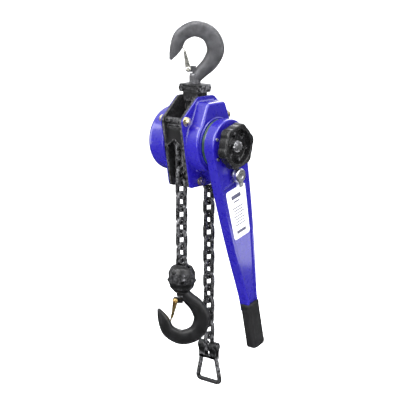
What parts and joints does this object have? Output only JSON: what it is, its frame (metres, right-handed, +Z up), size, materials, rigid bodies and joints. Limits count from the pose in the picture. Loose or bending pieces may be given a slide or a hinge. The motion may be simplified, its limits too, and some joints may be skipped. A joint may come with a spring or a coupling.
{
  "type": "lever chain hoist",
  "caption": "Hand lever hoist with a link chain over a toothed sheave, geared drive, load brake, swivel hooks with latches and an end ring.",
  "frame": {"origin": "saddle of the top hook, the inner top of its bowl, on the axis that the hoist hangs along", "axes": "+Z up, +X along the drive shaft towards the hand wheel, load chain on the -Y side"},
  "size_m": [0.172, 0.1787, 0.697],
  "materials": {
    "hook_grey": "satin grey oxide",
    "hook_black": "satin black oxide",
    "latch_zinc": "bright zinc",
    "latch_gold": "yellow zinc",
    "black_steel": "semi gloss black",
    "blue_paint": "gloss enamel",
    "nut_zinc": "yellow zinc",
    "chain_black": "black oxide",
    "gear_steel": "machined",
    "bronze": "sintered bronze",
    "friction": "moulded lining",
    "wheel_black": "semi gloss",
    "bright_zinc": "bright zinc",
    "label_white": "printed film",
    "rubber": "moulded rubber"
  },
  "bodies": {
    "top_hook": {"top_hook": "hook_grey", "top_latch_pin": "bright_zinc", "top_latch_spring": "bright_zinc"},
    "top_latch": {"top_latch": "latch_zinc"},
    "top_yoke": {"yoke_front": "black_steel", "yoke_rear": "black_steel", "yoke_screws": "black_steel"},
    "frame": {"top_pin": "gear_steel", "gear_side_plate": "black_steel", "brake_side_plate": "black_steel", "gear_cover": "blue_paint", "brake_cover": "blue_paint", "stay_bolts": "black_steel", "stay_nuts": "nut_zinc", "chain_guide": "black_steel", "chain_stripper": "black_steel", "sheave_bushes": "bronze", "friction_disc_inner": "friction", "friction_disc_outer": "friction", "ratchet_disc": "gear_steel", "pawl_pins": "gear_steel", "pawl_springs": "bright_zinc"},
    "sheave": {"load_sheave": "chain_black", "load_gear": "gear_steel", "sheave_links": "chain_black"},
    "gear_a": {"gear_a": "gear_steel"},
    "gear_b": {"gear_b": "gear_steel"},
    "drive": {"drive_shaft": "gear_steel", "friction_hub": "gear_steel", "changing_gear": "gear_steel", "hand_wheel": "wheel_black", "castle_nut": "bright_zinc", "split_pin": "bright_zinc"},
    "brake_pawl_a": {"brake_pawl_a": "gear_steel"},
    "brake_pawl_b": {"brake_pawl_b": "gear_steel"},
    "lever": {"lever_back_cover": "blue_paint", "lever_front_housing": "blue_paint", "lever_screws": "bright_zinc", "label": "label_white", "grip": "rubber"},
    "selector": {"selector_knob": "bright_zinc", "change_pawl": "gear_steel"},
    "load_chain_lead": {"load_chain_lead": "chain_black"},
    "load_chain": {"load_chain": "chain_black"},
    "tail_chain_lead": {"tail_chain_lead": "chain_black"},
    "tail_chain": {"tail_chain": "chain_black"},
    "hook_block": {"hook_block_front": "black_steel", "hook_block_rear": "black_steel", "block_bolts": "black_steel", "chain_pin": "gear_steel"},
    "bottom_hook": {"bottom_hook": "hook_black", "bottom_latch_pin": "latch_gold", "bottom_latch_spring": "bright_zinc"},
    "bottom_latch": {"bottom_latch": "latch_gold"},
    "end_ring": {"end_ring": "black_steel", "ring_pin": "gear_steel"}
  },
  "joints": [
    {"name": "top_swivel", "type": "hinge", "parent": "top_hook", "child": "top_yoke", "pos_m": [0, 0, -0.08], "axis": [0, 0, 1], "continuous": true},
    {"name": "yoke_pivot", "type": "hinge", "parent": "top_yoke", "child": "frame", "pos_m": [0, 0, -0.127], "axis": [1, 0, 0], "range_deg": [-15, 15]},
    {"name": "top_latch_hinge", "type": "hinge", "parent": "top_hook", "child": "top_latch", "pos_m": [-0.00919, -0.00771, -0.058], "axis": [-0.6428, 0.766, 0], "range_deg": [0, 38], "stiffness_Nm_per_rad": 0.08, "springref_deg": -20.05},
    {"name": "sheave_turn", "type": "hinge", "parent": "frame", "child": "sheave", "pos_m": [0, 0, -0.189], "axis": [1, 0, 0], "range_deg": [-18, 18]},
    {"name": "load_lead_turn", "type": "hinge", "parent": "sheave", "child": "load_chain_lead", "pos_m": [0, -0.03883, -0.19352], "axis": [1, 0, 0], "range_deg": [-18, 18]},
    {"name": "tail_lead_turn", "type": "hinge", "parent": "sheave", "child": "tail_chain_lead", "pos_m": [0, 0.03883, -0.19352], "axis": [1, 0, 0], "range_deg": [-18, 18]},
    {"name": "gear_a_turn", "type": "hinge", "parent": "frame", "child": "gear_a", "pos_m": [0, 0.0315, -0.189], "axis": [1, 0, 0], "range_deg": [-60.01, 60.01]},
    {"name": "gear_b_turn", "type": "hinge", "parent": "frame", "child": "gear_b", "pos_m": [0, -0.0315, -0.189], "axis": [1, 0, 0], "range_deg": [-60.01, 60.01]},
    {"name": "drive_turn", "type": "hinge", "parent": "frame", "child": "drive", "pos_m": [0.06, 0, -0.189], "axis": [1, 0, 0], "range_deg": [-180, 180]},
    {"name": "brake_pawl_a_lift", "type": "hinge", "parent": "frame", "child": "brake_pawl_a", "pos_m": [0.037, 0.03253, -0.15647], "axis": [1, 0, 0], "range_deg": [0, 12], "stiffness_Nm_per_rad": 0.05, "springref_deg": -22.92},
    {"name": "brake_pawl_b_lift", "type": "hinge", "parent": "frame", "child": "brake_pawl_b", "pos_m": [0.037, -0.03253, -0.22153], "axis": [1, 0, 0], "range_deg": [0, 12], "stiffness_Nm_per_rad": 0.05, "springref_deg": -22.92},
    {"name": "lever_swing", "type": "hinge", "parent": "frame", "child": "lever", "pos_m": [0.07, 0, -0.189], "axis": [1, 0, 0], "continuous": true},
    {"name": "selector_turn", "type": "hinge", "parent": "lever", "child": "selector", "pos_m": [0.08, 0.01282, -0.24454], "axis": [1, 0, 0], "range_deg": [-12.6, 12.6]},
    {"name": "load_chain_sway", "type": "hinge", "parent": "load_chain_lead", "child": "load_chain", "pos_m": [0, -0.03883, -0.25692], "axis": [1, 0, 0], "range_deg": [-12, 2]},
    {"name": "tail_chain_sway", "type": "hinge", "parent": "tail_chain_lead", "child": "tail_chain", "pos_m": [0, 0.03883, -0.25692], "axis": [1, 0, 0], "range_deg": [-2, 12]},
    {"name": "block_rock", "type": "hinge", "parent": "load_chain", "child": "hook_block", "pos_m": [0, -0.03883, -0.42552], "axis": [0, 1, 0], "range_deg": [-20, 20]},
    {"name": "bottom_swivel", "type": "hinge", "parent": "hook_block", "child": "bottom_hook", "pos_m": [0, -0.03883, -0.459], "axis": [0, 0, 1], "continuous": true},
    {"name": "bottom_latch_hinge", "type": "hinge", "parent": "bottom_hook", "child": "bottom_latch", "pos_m": [-0.00919, -0.04655, -0.485], "axis": [0.6428, -0.766, 0], "range_deg": [0, 38], "stiffness_Nm_per_rad": 0.08, "springref_deg": -20.05},
    {"name": "ring_pivot", "type": "hinge", "parent": "tail_chain", "child": "end_ring", "pos_m": [0, 0.03883, -0.59352], "axis": [1, 0, 0], "range_deg": [-60, 60]}
  ],
  "couplings": [
    {"joint": "load_lead_turn", "follows": "sheave_turn", "ratio": -1},
    {"joint": "tail_lead_turn", "follows": "sheave_turn", "ratio": -1},
    {"joint": "gear_a_turn", "follows": "sheave_turn", "ratio": -3.3333},
    {"joint": "gear_b_turn", "follows": "sheave_turn", "ratio": -3.3333},
    {"joint": "drive_turn", "follows": "sheave_turn", "ratio": 10}
  ]
}
